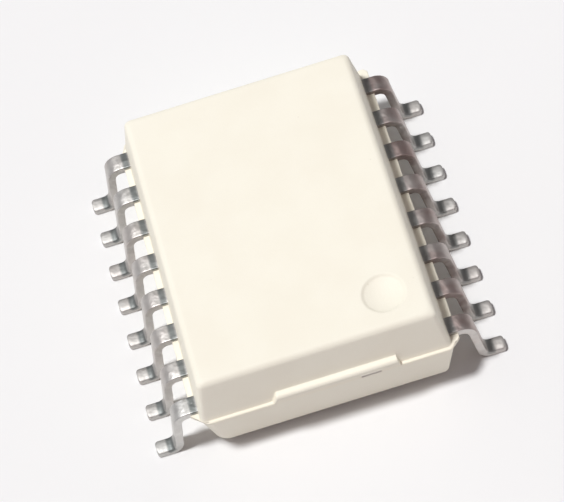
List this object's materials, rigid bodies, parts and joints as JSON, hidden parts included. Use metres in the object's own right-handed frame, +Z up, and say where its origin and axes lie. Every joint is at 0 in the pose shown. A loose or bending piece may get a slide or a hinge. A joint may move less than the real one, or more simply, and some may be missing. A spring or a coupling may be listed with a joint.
{
  "type": "optocoupler",
  "caption": "Wide small-outline optocoupler: drafted cream moulded body with a raised parting step and a round pin dimple, and a row of tinned gull-wing leads on each long side",
  "frame": {"origin": "on the board plane under the middle of the body", "axes": "X across the two lead rows with the pin 1 row on +X, Y along the body with the pin 1 end on -Y, Z up from the board"},
  "size_m": [0.0106, 0.0104, 0.0035],
  "materials": {
    "mould_compound": "warm white filled epoxy moulding compound, matte with a fine mould grain",
    "tinned_lead": "matte tin plating over a stamped copper alloy lead frame",
    "silicon": "polished silicon with metal pads",
    "emitter_die": "red light-emitting semiconductor die",
    "clear_silicone": "clear cured silicone",
    "gold_wire": "drawn gold bond wire"
  },
  "bodies": {
    "root": {"body": "mould_compound", "lead_01": "tinned_lead", "lead_02": "tinned_lead", "lead_03": "tinned_lead", "lead_04": "tinned_lead", "lead_05": "tinned_lead", "lead_06": "tinned_lead", "lead_07": "tinned_lead", "lead_08": "tinned_lead", "lead_09": "tinned_lead", "lead_10": "tinned_lead", "lead_11": "tinned_lead", "lead_12": "tinned_lead", "lead_13": "tinned_lead", "lead_14": "tinned_lead", "lead_15": "tinned_lead", "lead_16": "tinned_lead", "input_chip": "silicon", "output_chip": "silicon", "forward_emitter": "emitter_die", "feedback_emitter": "emitter_die", "forward_light_guide": "clear_silicone", "feedback_light_guide": "clear_silicone", "input_bond_wires": "gold_wire", "output_bond_wires": "gold_wire"}
  },
  "joints": []
}
